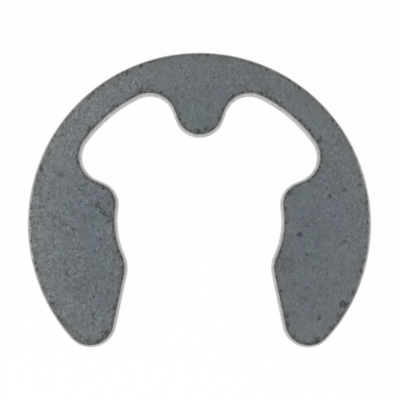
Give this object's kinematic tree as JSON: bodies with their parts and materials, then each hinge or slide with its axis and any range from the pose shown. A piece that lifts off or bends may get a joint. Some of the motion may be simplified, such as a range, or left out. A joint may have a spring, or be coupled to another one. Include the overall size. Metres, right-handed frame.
{
  "type": "retaining ring",
  "caption": "One-piece stamped spring-steel retaining ring that snaps sideways into a shaft groove, with a centre nub, relief recesses and rounded prongs.",
  "frame": {"origin": "on the axis of the shaft that the ring grips, at the face it rests on, which is the rolled-edge face", "axes": "+Z along the shaft's axis, up through the thickness; +Y from the shaft's axis to the nub, so the mouth opens towards -Y; +X across the two prongs"},
  "size_m": [0.02, 0.0171, 0.0012],
  "materials": {
    "spring_steel": "grey phosphate coating, matte"
  },
  "bodies": {
    "root": {"retaining_ring": "spring_steel"}
  },
  "joints": []
}
